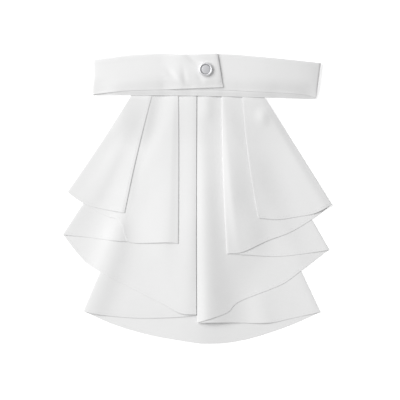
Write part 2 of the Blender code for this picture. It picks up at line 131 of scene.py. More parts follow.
# Soft ridges of each panel: a bowed line through three places, the half widths on
# its left and right where it runs down the page, and the heights, each at start, middle and end
ridges = table("panel line left right heights", [
    ("back", ((0, 30), (1, -50), (0, -119)), (40, 40, 40), (24, 25, 25), (0, 1.4, 2.0)),
    ("under_two_left", ((-2, 92), (-2, -10), (-2, -100)), (46, 50, 46), (20, 20, 20), (1.0, 3.3, 0.4)),
    ("under_two_left", ((-62, -5), (-68, -40), (-88, -96)), (12, 13, 13), (8, 11, 11), (0, 1.7, 1.5)),
    ("under_two_left", ((-84, -88), (-55, -93), (-20, -89)), (5, 5, 5), (12, 12, 12), (0.1, 0.3, 0.1)),
    ("tier_two_left", ((-26, 10), (-28, -30), (-30, -64)), (18, 20, 20), (7, 8, 8), (0, 0.6, 0)),
    ("tier_two_left", ((-6, 15), (-7, -45), (-8, -92)), (24, 26, 26), (30, 30, 30), (0, 1.1, 0.8)),
    ("tier_two_left", ((-4, 92), (-4, 0), (-8, -92)), (7, 8, 10), (5, 5, 6), (0.4, 0.7, 0.5)),
    ("under_one_left", ((-62, -12), (-62.5, -26), (-63, -38)), (14, 14, 14), (4, 4, 4), (0.1, 0.4, 0.5)),
    ("tier_one_left", ((-18.5, 92), (-22, 35), (-23.5, -48)), (7, 18, 20), (3, 5, 6), (0.2, 0.8, 0.8)),
    ("tier_one_left", ((-40.3, 92), (-43.5, 64), (-51, 36)), (60, 60, 26), (8, 7.5, 6), (1.4, 1.8, 0.4)),
    ("tier_one_left", ((-48.5, 45), (-55, 15), (-59.5, -8)), (16, 16, 16), (4, 4, 4), (0, 0.7, 0.2)),
    ("tier_one_left", ((-60, 92), (-62, 66), (-68, 44)), (12, 12, 12), (12, 12, 12), (0.7, 1.3, 0)),
    ("top_left", ((-39.8, 84), (-51.8, 36), (-62.5, -11)), (13, 16, 20), (3.2, 3.2, 3.2), (0, 0.4, 0.5)),
    ("top_left", ((-61.9, 48), (-70, 28), (-81.6, 3)), (7, 7, 7), (5, 5, 5), (0.1, 0.3, 0.3)),
    ("under_two_right", ((8, 92), (10, -10), (4, -102)), (40, 40, 40), (28, 28, 22), (1.0, 3.4, 0.9)),
    ("under_two_right", ((7, 60), (8, -20), (9, -102)), (11, 12, 10), (13, 15, 18), (0, 1.1, 2.7)),
    ("under_two_right", ((48, -70), (52, -88), (54, -104)), (9, 9, 9), (9, 9, 9), (0, 0.8, 1.0)),
    ("tier_two_right", ((5, 92), (6, 0), (7, -104)), (5, 7, 9), (6, 8, 9), (0.2, 1.1, 0.4)),
    ("tier_two_right", ((22, 60), (25, 0), (32, -50)), (6, 7, 9), (12, 14, 14), (0, 0.9, 0.7)),
    ("tier_two_right", ((40, 0), (44, -28), (48, -66)), (10, 10, 10), (10, 10, 10), (0, 0.8, 0)),
    ("tier_two_right", ((8.2, 84), (8.4, 72), (8.6, 60)), (6, 6, 6), (5.5, 5.5, 5.5), (0.7, 0.7, 0)),
    ("under_one_right", ((21.5, 92), (29.5, 0), (37, -44)), (4, 4.2, 5), (17, 19, 21), (0.4, 0.9, 0.4)),
    ("under_one_right", ((38, 40), (44, 8), (50, -20)), (20, 20, 20), (18, 18, 18), (0, 0.4, 0.5)),
    ("tier_one_right", ((22.5, 92), (28, 8), (36, -46)), (4.5, 6, 7.5), (8, 12, 20), (0.3, 0.9, 0.3)),
    ("tier_one_right", ((37, 92), (44, 34), (49.4, -16)), (20, 20, 20), (12, 18, 20), (0.4, 0.7, 0.4)),
    ("top_right", ((36.3, 92), (43, 34), (49.8, -16)), (6, 6, 6), (12, 18, 20), (0.5, 1.3, 0.6)),
    ("top_right", ((45, 92), (76, 39), (104, -6)), (14, 12, 10), (4.5, 4.5, 4.5), (0.5, 1.3, 1.0)),
    ("top_right", ((51, 76), (54, 67), (58, 58)), (5, 5, 5), (4.5, 4.5, 4.5), (0, 0.9, 0)),
])


def smoothStep(value):
    # 3v² - 2v³ of the value between nought and one
    value = np.clip(value, 0.0, 1.0)
    return value * value * (3.0 - 2.0 * value)


def lerp(start, end, share):
    # The start plus a share of the way to the end
    return start + (end - start) * share


def bell(distance, halfWidth):
    # e to the minus square of the distance over the half width
    return np.exp(-(distance / halfWidth) ** 2)


def unit(vectors):
    # Each vector over its own length
    return vectors / np.maximum(np.linalg.norm(vectors, axis=-1, keepdims=True), 1e-9)


curveSteps = 12     # straight steps that stand for each stretch of a curve


def alongCurve(points, shares):
    # A Catmull-Rom curve through the points, read at shares of its length
    points = np.asarray(points, float)
    ends = np.vstack([2 * points[0] - points[1], points, 2 * points[-1] - points[-2]])
    local = np.linspace(0.0, 1.0, curveSteps, endpoint=False)[:, None]
    dense = []
    for p0, p1, p2, p3 in zip(ends, ends[1:], ends[2:], ends[3:]):
        dense.append(0.5 * (2 * p1 + (p2 - p0) * local
                            + (2 * p0 - 5 * p1 + 4 * p2 - p3) * local ** 2
                            + (3 * p1 - p0 - 3 * p2 + p3) * local ** 3))
    dense = np.vstack(dense + [points[-1:]])
    lengths = np.linalg.norm(np.diff(dense, axis=0), axis=1)
    run = np.concatenate([[0.0], np.cumsum(lengths)]) / lengths.sum()
    return np.stack([np.interp(shares, run, dense[:, i]) for i in range(dense.shape[1])], axis=-1)


def distanceOutside(points, outline):
    # How far each point lies past the closed outline, and nought inside it
    start, end = outline, np.roll(outline, -1, axis=0)
    edge = end - start
    offset = points[:, None, :] - start[None]
    share = np.clip((offset * edge).sum(2) / np.maximum((edge ** 2).sum(1), 1e-12), 0.0, 1.0)
    nearest = np.linalg.norm(offset - share[..., None] * edge, axis=2).min(1)
    px, py = points[:, 0, None], points[:, 1, None]
    rises = (start[:, 1] > py) != (end[:, 1] > py)
    height = np.where(edge[:, 1] == 0, 1e-12, edge[:, 1])
    crossing = rises & (px < edge[:, 0] * (py - start[:, 1]) / height + start[:, 0])
    return np.where(crossing.sum(1) % 2 == 1, 0.0, nearest)


def foldPoint(fold, fall):
    # A slant from the waist to the hem, bowed by half a sine; straight up where the fall is negative
    below, above = np.clip(fall, 0.0, 1.0), np.clip(-fall, 0.0, 1.0)
    x = lerp(fold["waistX"], fold["hemX"], below) + fold["bow"] * np.sin(math.pi * below)
    y = lerp(ruffle["waistY"], fold["hemY"], below)
    return np.stack([x, y + (ruffle["sewnTopY"] - ruffle["waistY"]) * above], axis=-1)


def fallSteps(above, below):
    # Even steps from minus one to nought behind the band, and on to one at the hem
    return np.concatenate([np.linspace(-1.0, 0.0, above, endpoint=False),
                           np.linspace(0.0, 1.0, below + 1)])


coarseFalls = fallSteps(2, 18)
denseWaist = 5      # the waist's place among the dense steps
denseFalls = fallSteps(denseWaist, 48)


def readLine(values, fall):
    # A fold's dense values, read at any share of its fall
    return np.stack([np.interp(fall, denseFalls, values[:, i])
                     for i in range(values.shape[1])], axis=-1)


def panelOutline(index):
    # Down one fold, along the hem's curve and up the other fold
    first = foldPoint(folds[index], coarseFalls)
    second = foldPoint(folds[index + 1], coarseFalls)
    hem = alongCurve([first[-1], *panels[index]["hem"], second[-1]],
                     np.linspace(0.0, 1.0, 2 * curveSteps))
    return np.vstack([first, hem[1:-1], second[::-1]])


def cover(points, outline, length, margin):
    # One over the outline and its margin, falling to nought within the length
    return smoothStep(1.0 - (distanceOutside(points, outline) - margin) / length)


def rollLift(points, fold):
    # Two layers stand apart at the fold that joins them, by a bell of the distance from it
    line = foldPoint(fold, coarseFalls)
    waist = ruffle["waistY"]
    share = np.clip((waist - points[:, 1]) / (waist - fold["hemY"]), 0.0, 1.0)
    height = lerp(fold["rollWaist"], fold["rollHem"], smoothStep(share))
    sliver = np.vstack([line, line[::-1] + (0.01, 0.0)])
    spread = ruffle["rollSpreadAtWaist"] + ruffle["rollSpreadGrowth"] * share
    return height * bell(distanceOutside(points, sliver), spread)


def threeStops(stops, share):
    # Eases from the first stop to the middle one and on to the last
    early = lerp(stops[0], stops[1], smoothStep(share * 2.0))
    return early + (stops[2] - stops[1]) * smoothStep(share * 2.0 - 1.0)


def fromLine(points, line):
    # The nearest place on a bowed line: its share of the line, the distance to it, and the sine of
    # the angle between the two, plus one on its right and minus one on its left where it runs down
    share = np.linspace(0.0, 1.0, curveSteps + 1)[:, None]
    start, middle, end = np.array(line, float)
    bent = middle * 2.0 - (start + end) / 2.0
    curve = start * (1 - share) ** 2 + bent * 2 * share * (1 - share) + end * share ** 2
    run = np.diff(curve, axis=0)
    offset = points[:, None] - curve[None, :-1]
    along = np.clip((offset * run).sum(2) / (run ** 2).sum(1), 0.0, 1.0)
    gap = offset - along[..., None] * run
    length = np.linalg.norm(gap, axis=2)
    best = length.argmin(1)
    row = np.arange(len(points))
    distance = length[row, best]
    area = run[best, 0] * offset[row, best, 1] - run[best, 1] * offset[row, best, 0]
    sine = area / np.maximum(np.linalg.norm(run[best], axis=1) * distance, 1e-9)
    return (best + along[row, best]) / len(run), distance, sine


def ridgeLift(points, name):
    # A bell across each ridge's line, its height and its two half widths eased along it
    total = np.zeros(len(points))
    for ridge in ridges:
        if ridge["panel"] == name:
            share, distance, sine = fromLine(points, ridge["line"])
            width = lerp(threeStops(ridge["left"], share), threeStops(ridge["right"], share),
                         smoothStep(sine / 2.0 + 0.5))
            total += threeStops(ridge["heights"], share) * bell(distance, width)
    return total


def upperFolds(index):
    # The folds by which a panel joins those above it
    side = panels[index]["side"]
    found = [index] if side != "right" and index > 0 else []
    if side != "left" and index + 1 < len(panels):
        found.append(index + 1)
    return found


def stackHeight(points, side, level):
    # The sum of the gathers' bulk, what each lower layer adds where it lies below, and the ridges
    fromWaist = ruffle["waistY"] - points[:, 1]
    inward = smoothStep((ruffle["bulkEdge"] - np.abs(points[:, 0])) / ruffle["bulkEase"])
    height = ruffle["waistBulk"] * inward * smoothStep(1.0 - fromWaist / ruffle["bulkFall"])
    share = np.clip(fromWaist / ruffle["dropLength"], 0.0, 1.0)
    drop = lerp(ruffle["dropAtWaist"], ruffle["dropAtHem"], share)
    eased = smoothStep(fromWaist / ruffle["pitchEase"])
    pitch = lerp(ruffle["pitchAtWaist"], ruffle["pitchBelow"], eased)
    for index, panel in enumerate(panels):
        if side != "both" and panel["side"] not in (side, "both"):
            continue
        if panel["level"] == level:
            height = height + ridgeLift(points, panel["name"])
        elif panel["level"] < level:
            parting = sum(rollLift(points, folds[fold]) for fold in upperFolds(index))
            lift = pitch + ridgeLift(points, panel["name"]) + parting
            height = height + lift * cover(points, panelOutline(index), drop, ruffle["edgeMargin"])
    return height


def tucked(points, height):
    # The height less a share of it, eased in just below the waist
    under = smoothStep((points[:, 1] - ruffle["waistY"]) / ruffle["tuckLength"] + ruffle["tuckFrom"])
    return height * (1.0 - ruffle["tuck"] * under)


def foldFrame(number):
    # A fold's line, the outward direction square to it and how far the flat cloth keeps from it
    points = foldPoint(folds[number], denseFalls)
    along = unit(np.gradient(points, axis=0))
    side = np.column_stack([along[:, 1], -along[:, 0]])
    if not 0 < number < len(folds) - 1:
        return {"points": points, "side": side, "inset": np.zeros((len(points), 1))}
    inner = (foldPoint(folds[number - 1], 1.0) + foldPoint(folds[number + 1], 1.0)) / 2.0
    if (side[-1] * (points[-1] - inner)).sum() < 0:
        side = -side
    below, above = [stackHeight(points, panels[i]["side"], panels[i]["level"])
                    for i in (number - 1, number)]
    radius = np.abs(above - below) / 2.0
    return {"points": points, "side": side, "inset": radius[:, None] + ruffle["wall"] / 2.0}


def rowFalls(lengths):
    # Rows behind the band, eased rows down the cloth, then close rows across the hem
    hem = 1.0 - np.array(ruffle["hemRows"])[:, None] / lengths
    hidden = np.linspace(-1.0, 0.0, ruffle["hiddenRows"], endpoint=False)[:, None]
    body = np.linspace(0.0, 1.0, ruffle["rowsBelow"], endpoint=False)[:, None]
    return np.vstack([hidden + 0.0 * lengths, body ** ruffle["rowEase"] * hem[0], hem])


def columnShares(index, widths):
    # Even columns, with close ones across the hem of a free edge
    count = panels[index]["columns"] * ruffle["columnsEach"]
    if index not in (0, len(panels) - 1):
        return np.linspace(0.0, 1.0, count + 1)[None] + 0.0 * widths
    hem = np.array(ruffle["hemRows"])[::-1][None] / widths
    even = np.linspace(0.0, 1.0, count - hem.shape[1] + 2)[None, 1:]
    shares = np.hstack([hem, lerp(hem[:, -1:], 1.0, even)])
    return shares if index == 0 else 1.0 - shares[:, ::-1]


def raised(plan, height):
    # The plan's two measures with the height as a third
    return np.concatenate([plan, height[..., None]], axis=2)


def panelSurface(index, frames):
    # A ruled patch between its two folds, its hem bulged to the hem's curve by a power of the fall
    panel = panels[index]
    edges = [frames[index], frames[index + 1]]
    lines = [edge["points"] - edge["side"] * edge["inset"] for edge in edges]
    ends = [line[-1] for line in lines]
    even = np.linspace(0.0, 1.0, panel["columns"] * ruffle["columnsEach"] + 1)
    hemCurve = [ends[0], *panel["hem"], ends[1]]
    tops = lerp(lines[0][denseWaist], lines[1][denseWaist], even[:, None])
    lengths = np.linalg.norm(alongCurve(hemCurve, even) - tops, axis=1)
    for end in (0, -1):
        foldLine = edges[end]["points"]
        lengths[end] = np.linalg.norm(foldLine[-1] - foldLine[denseWaist])
    falls = rowFalls(lengths[None])
    widths = np.linalg.norm(readLine(lines[1], falls[:, -1]) - readLine(lines[0], falls[:, 0]),
                            axis=1)[:, None]
    shares = columnShares(index, widths)
    plain = lerp(readLine(lines[0], falls), readLine(lines[1], falls), shares[..., None])
    bulge = alongCurve(hemCurve, shares) - lerp(ends[0], ends[1], shares[..., None])
    plan = plain + (np.clip(falls, 0.0, 1.0) ** ruffle["hemEase"])[..., None] * bulge
    flat = plan.reshape(-1, 2)
    height = tucked(flat, stackHeight(flat, panel["side"], panel["level"])) + ruffle["wall"] / 2.0
    return raised(plan, height.reshape(plan.shape[:2])), falls


def halfTurn(start, end, outward, steps):
    # Half a circle from one edge to the next, standing out by half the height between them
    middle, half = (start + end) / 2.0, (end - start) / 2.0
    angles = np.linspace(0.0, math.pi, steps + 1)[1:-1, None, None]
    rings = middle - half * np.cos(angles)
    rings[..., :2] += outward * np.abs(half[:, 2:]) * np.sin(angles)
    return rings


def ruffleSurface():
    # The panels and the turns between them, side by side as one grid
    frames = [foldFrame(number) for number in range(len(folds))]
    made = [panelSurface(index, frames) for index in range(len(panels))]
    pieces = [made[0][0]]
    for index in range(1, len(panels)):
        before, (after, falls) = made[index - 1][0], made[index]
        outward = readLine(frames[index]["side"], falls[:, 0])
        turn = halfTurn(before[:, -1], after[:, 0], outward, ruffle["turnSteps"])
        pieces += [turn.swapaxes(0, 1), after]
    return np.concatenate(pieces, axis=1)


def gridNormals(surface):
    # The cross product of the grid's two directions
    across, down = np.gradient(surface, axis=1), np.gradient(surface, axis=0)
    return unit(np.cross(across, down))


def flatPattern(surface, waistRow):
    # Unrolls the sheet: each column turns from the last by how much longer the hem step is
    # than the waist step, over the column's length
    downSteps = np.linalg.norm(np.diff(surface, axis=0), axis=2)
    down = np.vstack([np.zeros(surface.shape[1]), np.cumsum(downSteps, axis=0)])
    down = down - down[waistRow]
    across = np.linalg.norm(np.diff(surface, axis=1), axis=2)
    meanLength = (down[-1][1:] + down[-1][:-1]) / 2.0
    turn = np.concatenate([[0.0], np.cumsum((across[-1] - across[waistRow]) / meanLength)])
    turn = turn - turn.mean()
    heading = np.stack([np.cos(turn), np.sin(turn)], axis=1)
    middle = (heading[1:] + heading[:-1]) / 2.0
    waist = np.vstack([[0.0, 0.0], np.cumsum(middle * across[waistRow][:, None], axis=0)])
    outward = np.stack([np.sin(turn), -np.cos(turn)], axis=1)
    return (waist[None] + down[..., None] * outward[None]) * mm


def ringQuads(rings):
    # A quad between each four neighbouring points of rings of point numbers, closed round each ring
    beside = np.roll(rings, -1, axis=-1)
    return np.stack([rings[..., :-1, :], rings[..., 1:, :], beside[..., 1:, :], beside[..., :-1, :]],
                    axis=-1).reshape(-1, 4).tolist()


def addObject(name, data):
    # An object of the data, put into the scene
    made = bpy.data.objects.new(name, data)
    bpy.context.scene.collection.objects.link(made)
    return made


def addPiece(name, points, faces, finish, flat=None):
    # Puts whole arrays of points in millimetres, faces and flat coordinates into one mesh
    mesh = bpy.data.meshes.new(name)
    faces = faces if isinstance(faces, list) else faces.tolist()
    mesh.from_pydata((np.asarray(points) * mm).tolist(), [], faces)
    mesh.update()
    if flat is not None:
        corners = np.zeros(len(mesh.loops), np.int32)
        mesh.loops.foreach_get("vertex_index", corners)
        mesh.uv_layers.new(name="FlatCut").data.foreach_set("uv", flat[corners].ravel())
    mesh.shade_smooth()
    mesh.materials.append(finish)
    return addObject(name, mesh)


def dress(piece, node=None):
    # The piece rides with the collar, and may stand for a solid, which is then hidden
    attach(piece, "root")
    if node:
        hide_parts(node)


def onShell(surface, amount, side):
    # The surface moved out to one face of its shell, with the normals of that face
    normals = gridNormals(surface) * side
    return surface + normals * amount[..., None], normals


def closedShell(name, surface, above, below, finish, flat):
    # The shell's two faces, a quad between each four neighbouring points, and a strip round the edge
    top, bottom = onShell(surface, above, 1.0)[0], onShell(surface, below, -1.0)[0]
    number = np.arange(surface[..., 0].size).reshape(surface.shape[:2])
    faces = np.stack([number[:-1, :-1], number[:-1, 1:], number[1:, 1:], number[1:, :-1]],
                     axis=-1).reshape(-1, 4)
    edge = np.concatenate([number[0, :-1], number[:-1, -1], number[-1, :0:-1], number[:0:-1, 0]])
    following = np.roll(edge, -1)
    strip = np.stack([following, edge, edge + number.size, following + number.size], axis=-1)
    return addPiece(name, np.stack([top, bottom]).reshape(-1, 3),
                    np.vstack([faces, faces[:, ::-1] + number.size, strip]), finish,
                    np.stack([flat, flat]).reshape(-1, 2))


def edgeDistance(surface):
    # How far each grid point lies from the hem and from the two free edges, along the grid
    down = np.linalg.norm(np.diff(surface, axis=0), axis=2)
    fromHem = np.vstack([np.cumsum(down[::-1], axis=0)[::-1], np.zeros(surface.shape[1])])
    across = np.linalg.norm(np.diff(surface, axis=1), axis=2)
    start = np.hstack([np.zeros((len(surface), 1)), np.cumsum(across, axis=1)])
    end = start[:, -1:] - start
    return np.minimum(fromHem, np.minimum(start, end))


def rounded(fromEdge, radius, least):
    # The share of the wall that is left near an edge: a quarter circle within the radius
    inside = 1.0 - np.clip(fromEdge / radius, 0.0, 1.0)
    return np.sqrt(np.clip(1.0 - inside ** 2, least ** 2, 1.0))


def hemThickness(distance):
    # The wall, thicker over the turned hem, rounded off at the very edge, less the stitched groove
    extra = ruffle["hemExtra"] * smoothStep((ruffle["hemWidth"] - distance) / ruffle["hemStep"])
    rounding = rounded(distance, ruffle["edgeRound"], ruffle["edgeLeast"])
    groove = ruffle["grooveDepth"] * bell(distance - ruffle["stitchLine"], ruffle["grooveHalfWidth"])
    return (ruffle["wall"] + extra) * rounding - groove


# Lockstitching in spun thread, along the hems and the band's edges
sewing = {
    "pitch": 2.4,
    "length": 1.9,
    "radius": 0.11,
    "lift": 0.06,               # each stitch bows out by this
    "sink": 0.04,               # and sits this deep in its groove
    "endShare": 0.35,           # its ends are this share of its girth, where they go into the cloth
    "stations": 5,
    "sides": 5,
}


def stitchRods(line, normals):
    # The line is cut at even steps; each stitch is a ring of points carried along its step, bowed
    # out along the normal by half a sine and narrowed to its ends by the root of the same
    length = np.concatenate([[0.0], np.cumsum(np.linalg.norm(np.diff(line, axis=0), axis=1))])
    count = int(length[-1] / sewing["pitch"])
    start = (np.arange(count) + 0.5) * length[-1] / count - sewing["length"] / 2.0
    share = np.linspace(0.0, 1.0, sewing["stations"])
    place = start[:, None] + share[None] * sewing["length"]
    centre = np.stack([np.interp(place, length, line[:, i]) for i in range(3)], axis=-1)
    out = unit(np.stack([np.interp(place, length, normals[:, i]) for i in range(3)], axis=-1))
    beside = unit(np.cross(unit(np.gradient(centre, axis=1)), out))
    arch = np.sin(math.pi * share)
    centre = centre + out * (sewing["lift"] * arch - sewing["sink"])[None, :, None]
    radius = sewing["radius"] * lerp(sewing["endShare"], 1.0, np.sqrt(np.clip(arch, 0.0, 1.0)))
    angle = np.arange(sewing["sides"]) * 2.0 * math.pi / sewing["sides"]
    ring = (out[:, :, None] * np.cos(angle)[None, None, :, None]
            + beside[:, :, None] * np.sin(angle)[None, None, :, None])
    rods = centre[:, :, None] + ring * radius[None, :, None, None]
    girth = np.broadcast_to(angle * sewing["radius"], rods.shape[:3])
    run = np.broadcast_to(place[:, :, None], rods.shape[:3])
    return rods, np.stack([run, girth], axis=-1) * mm


def addStitches(name, lines, finish):
    # Quads round every rod and one flat face over each of its ends
    made = [stitchRods(line, normals) for line, normals in lines]
    rods, runs = [np.concatenate([one[i] for one in made]) for i in (0, 1)]
    number = np.arange(rods[..., 0].size).reshape(rods.shape[:3])
    faces = ringQuads(number) + number[:, 0].tolist() + number[:, -1, ::-1].tolist()
    return addPiece(name, rods.reshape(-1, 3), faces, finish, runs.reshape(-1, 2))


def linear(hexColour):
    # sRGB hex to linear: below 0.04045 over 12.92, above it the 2.4 power
    values = [int(hexColour[i:i + 2], 16) / 255.0 for i in (1, 3, 5)]
    return (*[v / 12.92 if v <= 0.04045 else ((v + 0.055) / 1.055) ** 2.4 for v in values], 1.0)


def addNode(tree, kind, inputs=None, **settings):
    # Adds a node, sets its properties, and fills or links its inputs
    made = tree.nodes.new(kind)
    for name, value in settings.items():
        setattr(made, name, value)
    for name, value in (inputs or {}).items():
        if isinstance(value, bpy.types.NodeSocket):
            tree.links.new(value, made.inputs[name])
        else:
            made.inputs[name].default_value = value
    return made


def newMaterial(name, shaderValues):
    # A shader with its even values set on its own sockets
    made = bpy.data.materials.new(name)
    made.use_nodes = True
    shader = made.node_tree.nodes["Principled BSDF"]
    for socket, value in shaderValues.items():
        shader.inputs[socket].default_value = value
    return made, made.node_tree, shader


def waveScale(millimetres):
    # A wave texture's bands repeat every 2π over 20 of its input
    return 2.0 * math.pi / (20.0 * millimetres * mm)


# Woven polyester: a matt plain weave of fine spun thread, so light spreads softly over it
cloth = {
    "light": "#f3f3f3",
    "dark": "#eeeeee",
    "threadMm": 0.45,           # real threads lie 0.25 mm apart, drawn coarser so that they show
    "threadWaver": 0.6,         # how unevenly they run
    "waverScale": 0.02,         # and how long their bends are, the less the longer
    "slubMm": 2.5,              # thicker stretches of a thread, this long
    "slubStretch": 6.0,         # and so many times thinner
    "weaveDepthMm": 0.03,
    "cloudMm": 24.0,            # soft clouds of tone and of level, this wide
    "unevenMm": 0.12,
    "roughness": 0.85,
    "specular": 0.25,
    "sheen": 0.15,
    "sheenRoughness": 0.4,
}


def wovenPolyester(name, values):
    # A plain weave is the product of two sines across the threads; slubs and clouds are noise
    made, tree, shader = newMaterial(name, {
        "Roughness": values["roughness"], "Sheen Weight": values["sheen"],
        "Sheen Roughness": values["sheenRoughness"], "Specular IOR Level": values["specular"]})
    flat = addNode(tree, "ShaderNodeUVMap", uv_map="FlatCut").outputs["UV"]
    place = addNode(tree, "ShaderNodeTexCoord").outputs["Object"]
    warp, weft = [addNode(tree, "ShaderNodeTexWave", {
        "Vector": flat, "Scale": waveScale(values["threadMm"]), "Distortion": values["threadWaver"],
        "Detail Scale": values["waverScale"]}, bands_direction=axis).outputs["Fac"]
        for axis in "XY"]
    weave = addNode(tree, "ShaderNodeMath", {0: warp, 1: weft}, operation="MULTIPLY").outputs[0]
    stretched = addNode(tree, "ShaderNodeMapping", {
        "Vector": flat, "Scale": (1.0, values["slubStretch"], 1.0)}).outputs["Vector"]
    slub = addNode(tree, "ShaderNodeTexNoise", {
        "Vector": stretched, "Scale": 1.0 / (values["slubMm"] * mm), "Detail": 3.0}).outputs["Fac"]
    cloud = addNode(tree, "ShaderNodeTexNoise", {
        "Vector": place, "Scale": 1.0 / (values["cloudMm"] * mm), "Detail": 4.0}).outputs["Fac"]
    tint = addNode(tree, "ShaderNodeMix", {
        "Factor": cloud, "A": linear(values["dark"]), "B": linear(values["light"])},
        data_type="RGBA")
    tree.links.new(tint.outputs[2], shader.inputs["Base Color"])
    fine = addNode(tree, "ShaderNodeMath", {0: weave, 1: slub}, operation="ADD").outputs[0]
    weaveBump = addNode(tree, "ShaderNodeBump", {
        "Height": fine, "Distance": values["weaveDepthMm"] * mm}).outputs["Normal"]
    unevenBump = addNode(tree, "ShaderNodeBump", {
        "Height": cloud, "Distance": values["unevenMm"] * mm, "Normal": weaveBump})
    tree.links.new(unevenBump.outputs["Normal"], shader.inputs["Normal"])
    return made


# Spun polyester sewing thread: two plies twisted together, a little glossier than the cloth
thread = {"colour": "#f4f4f4", "roughness": 0.6, "sheen": 0.1, "plyMm": 0.5, "plyDepthMm": 0.03,
          "plySlant": 35.0, "plyWaver": 0.4}


def spunThread(values):
    # Slanting bands along the stitch stand for the twist of the plies
    made, tree, shader = newMaterial("spun_polyester_thread", {
        "Base Color": linear(values["colour"]), "Roughness": values["roughness"],
        "Sheen Weight": values["sheen"]})
    run = addNode(tree, "ShaderNodeUVMap", uv_map="FlatCut").outputs["UV"]
    slanted = addNode(tree, "ShaderNodeMapping", {
        "Vector": run, "Rotation": (0.0, 0.0, math.radians(values["plySlant"]))}).outputs["Vector"]
    plies = addNode(tree, "ShaderNodeTexWave", {
        "Vector": slanted, "Scale": waveScale(values["plyMm"]),
        "Distortion": values["plyWaver"]}).outputs["Fac"]
    bump = addNode(tree, "ShaderNodeBump", {"Height": plies, "Distance": values["plyDepthMm"] * mm})
    tree.links.new(bump.outputs["Normal"], shader.inputs["Normal"])
    return made


ruffleFinish = wovenPolyester("white_woven_polyester", cloth)
bandFinish = wovenPolyester("white_interlined_polyester", cloth)
threadFinish = spunThread(thread)

surface = ruffleSurface()
waistRow = ruffle["hiddenRows"]
flat = flatPattern(surface, waistRow)
thickness = hemThickness(edgeDistance(surface)) / 2.0
ruffleCloth = closedShell("ruffle_cloth_sheet", surface, thickness, thickness, ruffleFinish, flat)


def ruffleStitchLines():
    # Along each panel's hem and down the two free edges. The panels turn over one after the other,
    # so the face that shows is up on one and down on the next
    row = ruffle["stitchRow"]
    lines = []
    column = 0
    for index, panel in enumerate(panels):
        count = panel["columns"] * ruffle["columnsEach"] + 1
        points, normals = onShell(surface, thickness, 1.0 if index % 2 == 0 else -1.0)
        along = slice(column, column + count)
        lines.append((points[row, along], normals[row, along]))
        if index in (0, len(panels) - 1):
            edge = -1 - row if index == 0 else row
            down = slice(waistRow + 2, row + 1)
            lines.append((points[down, edge], normals[down, edge]))
        column += count + ruffle["turnSteps"] - 1
    return lines


hemThread = addStitches("ruffle_hem_stitches", ruffleStitchLines(), threadFinish)
dress(hemThread)
print("ruffle:", surface.shape, "flat cut", np.ptp(flat.reshape(-1, 2), axis=0))
dress(ruffleCloth, "jabot_ruffle")


# The neckband: a looped strip whose lower stretch lies on the pleats. What a user would change is here.
band = {
    "wall": 1.1,                # two cloths and their interlining
    "pitch": 1.5,               # the lapping end stands over the other by this
    "stationStep": 1.6,         # grid columns along it are this far apart
    "edgeLines": (0.0, 0.15, 0.5, 1.0, 1.7),    # grid lines near its edges, and even ones between
    "evenLines": 20,
    "stitchRows": (4, -5, 3),   # the grid lines that its edge stitching follows
    "stitchClear": 4,           # it stops this many stations short of the end folds
    "turnSteps": 10,
    "leftX": -86.6,             # the front rises from its end folds within the ramps
    "rightX": 101.2,
    "leftRamp": 66.0,
    "rightRamp": 66.0,
    "leftPower": 1.5,           # the greater the power, the sooner it rises
    "rightPower": 2.2,
    "foldLeft": 5.6,            # how far apart the two stretches stand at the loop's ends
    "foldRight": 3.4,
    "middleEase": 60.0,         # values on its left pass into those on its right within this
    "foldPull": 20.0,           # the stretches are drawn in towards their end folds within this
    "foldThin": 0.4,            # and are pressed thinner there by this share
    "foldThinLength": 6.0,
    "lapEase": 5.0,             # the lapping end comes down on the other within this
    "lapSink": 0.15,            # by this
    "underLap": 0.3,            # the stretch below it lies this much lower
    "dipLeft": 14.0,            # its lower edge comes down on the lower stretch within this
    "dipRight": 13.0,
    "dipMost": 3.4,             # and by no more than this
    "rise": 9.0,                # the lower stretch bows up over the pleats within this
    "riseFrom": 7.0,            # and is fully up this far from its lower edge
    "seatAbove": 1.0,           # it lies on what the pleats reach this far above its lower edge
    "pleatGap": 0.1,            # and this far over them
    "seatLook": 3.5,            # the front's lower edge clears what lies this far up the lower one
    "frontThin": 8.0,           # the stretches are pressed thin within this of their lower edges
    "backThin": 4.8,
    "thinnest": 0.25,           # to this share of the wall
    "lean": 0.5,                # the lower stretch leans down to its lower edge by this
    "leanReach": 4.8,           # within this
    "leanSeat": 2.0,            # and less where it lies lower than this
    "pleatReach": 8.0,          # it spans from one high pleat to the next within this
    "pleatRise": 5.0,           # and lies on what they reach this far up too
    "pleatShare": 0.9,          # from their mean height there, this far towards their greatest
    "pleatSamples": 7,
    "lapStartX": -10.9,         # the other end lies under the lapping one from here
    "lapRise": 20.0,            # the lapping end is fully up by there, and starts this far back
    "edgeRound": 1.6,           # the other edges are rounded off within this
    "lowerRound": 0.5,          # and the lower ones within this
    "edgeLeast": 0.2,           # to this share of the wall
    "seamPlace": 3.0,           # the turnings inside raise a soft line this far in
    "seamHalfWidth": 1.0,
    "seamHeight": 0.12,
}

